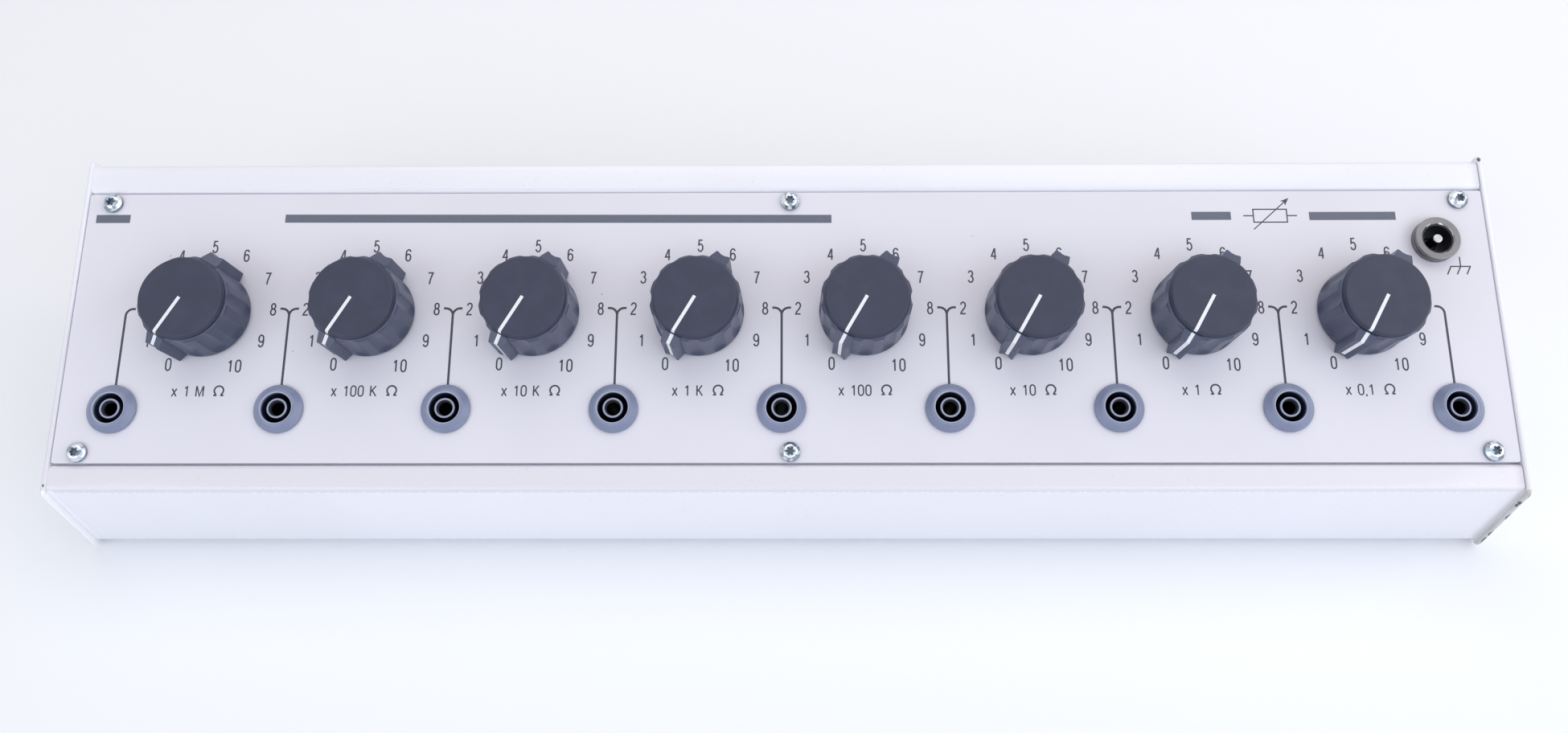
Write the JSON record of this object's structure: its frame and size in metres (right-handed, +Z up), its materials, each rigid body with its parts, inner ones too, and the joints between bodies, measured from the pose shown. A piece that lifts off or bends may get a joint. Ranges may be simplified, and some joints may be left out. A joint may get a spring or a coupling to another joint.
{
  "type": "decade resistance box",
  "caption": "Sloping bench console with a row of fluted dials, each setting one decade of resistance, and insulated 4 mm sockets between them.",
  "frame": {"origin": "centre of the bounding box at the feet's underside", "axes": "+X along the length to the right as read, +Y to the rear, +Z up"},
  "size_m": [0.4228, 0.0978, 0.072],
  "materials": {
    "case_white": "white textured powder coat with a few chips on the edges",
    "panel_white": "smooth satin white with grey printed scales",
    "zinc": "bright zinc plate, slightly blue",
    "contact_nickel": "dull nickel plate on turned brass",
    "nickel": "turned nickel plate",
    "black_plastic": "moulded black plastic",
    "wire_red": "insulated hook-up wire",
    "rubber": "moulded rubber",
    "socket_grey": "fine-grained blue-grey plastic",
    "switch_plastic": "phenolic wafer and drum",
    "resistor_blue": "lacquered metal-film resistors",
    "shaft_steel": "drawn steel",
    "knob_grey": "matt slate-grey plastic with a white pointer",
    "cap_grey": "matt slate-grey plastic with a white line"
  },
  "bodies": {
    "case": {"case_wrap": "case_white", "left_end_plate": "case_white", "right_end_plate": "case_white", "front_panel": "panel_white", "panel_screws": "zinc", "mounting_nuts": "zinc", "contacts": "contact_nickel", "earth_shell": "nickel", "earth_insulator": "black_plastic", "link_wires": "wire_red", "rubber_feet": "rubber", "socket_1": "socket_grey", "socket_2": "socket_grey", "socket_3": "socket_grey", "socket_4": "socket_grey", "socket_5": "socket_grey", "socket_6": "socket_grey", "socket_7": "socket_grey", "socket_8": "socket_grey", "socket_9": "socket_grey", "switch_body_1": "switch_plastic", "switch_body_2": "switch_plastic", "switch_body_3": "switch_plastic", "switch_body_4": "switch_plastic", "switch_body_5": "switch_plastic", "switch_body_6": "switch_plastic", "switch_body_7": "switch_plastic", "switch_body_8": "switch_plastic", "resistor_ring_1": "resistor_blue", "resistor_ring_2": "resistor_blue", "resistor_ring_3": "resistor_blue", "resistor_ring_4": "resistor_blue", "resistor_ring_5": "resistor_blue", "resistor_ring_6": "resistor_blue", "resistor_ring_7": "resistor_blue", "resistor_ring_8": "resistor_blue"},
    "dial_1": {"switch_rotor_1": "shaft_steel", "knob_1": "knob_grey", "knob_cap_1": "cap_grey"},
    "dial_2": {"switch_rotor_2": "shaft_steel", "knob_2": "knob_grey", "knob_cap_2": "cap_grey"},
    "dial_3": {"switch_rotor_3": "shaft_steel", "knob_3": "knob_grey", "knob_cap_3": "cap_grey"},
    "dial_4": {"switch_rotor_4": "shaft_steel", "knob_4": "knob_grey", "knob_cap_4": "cap_grey"},
    "dial_5": {"switch_rotor_5": "shaft_steel", "knob_5": "knob_grey", "knob_cap_5": "cap_grey"},
    "dial_6": {"switch_rotor_6": "shaft_steel", "knob_6": "knob_grey", "knob_cap_6": "cap_grey"},
    "dial_7": {"switch_rotor_7": "shaft_steel", "knob_7": "knob_grey", "knob_cap_7": "cap_grey"},
    "dial_8": {"switch_rotor_8": "shaft_steel", "knob_8": "knob_grey", "knob_cap_8": "cap_grey"}
  },
  "joints": [
    {"name": "dial_1_turn", "type": "hinge", "parent": "case", "child": "dial_1", "pos_m": [-0.16975, 0.00183, 0.05196], "axis": [0, 0.342, -0.9397], "range_deg": [0, 300]},
    {"name": "dial_2_turn", "type": "hinge", "parent": "case", "child": "dial_2", "pos_m": [-0.12125, 0.00183, 0.05196], "axis": [0, 0.342, -0.9397], "range_deg": [0, 300]},
    {"name": "dial_3_turn", "type": "hinge", "parent": "case", "child": "dial_3", "pos_m": [-0.07275, 0.00183, 0.05196], "axis": [0, 0.342, -0.9397], "range_deg": [0, 300]},
    {"name": "dial_4_turn", "type": "hinge", "parent": "case", "child": "dial_4", "pos_m": [-0.02425, 0.00183, 0.05196], "axis": [0, 0.342, -0.9397], "range_deg": [0, 300]},
    {"name": "dial_5_turn", "type": "hinge", "parent": "case", "child": "dial_5", "pos_m": [0.02425, 0.00183, 0.05196], "axis": [0, 0.342, -0.9397], "range_deg": [0, 300]},
    {"name": "dial_6_turn", "type": "hinge", "parent": "case", "child": "dial_6", "pos_m": [0.07275, 0.00183, 0.05196], "axis": [0, 0.342, -0.9397], "range_deg": [0, 300]},
    {"name": "dial_7_turn", "type": "hinge", "parent": "case", "child": "dial_7", "pos_m": [0.12125, 0.00183, 0.05196], "axis": [0, 0.342, -0.9397], "range_deg": [0, 300]},
    {"name": "dial_8_turn", "type": "hinge", "parent": "case", "child": "dial_8", "pos_m": [0.16975, 0.00183, 0.05196], "axis": [0, 0.342, -0.9397], "range_deg": [0, 300]}
  ]
}
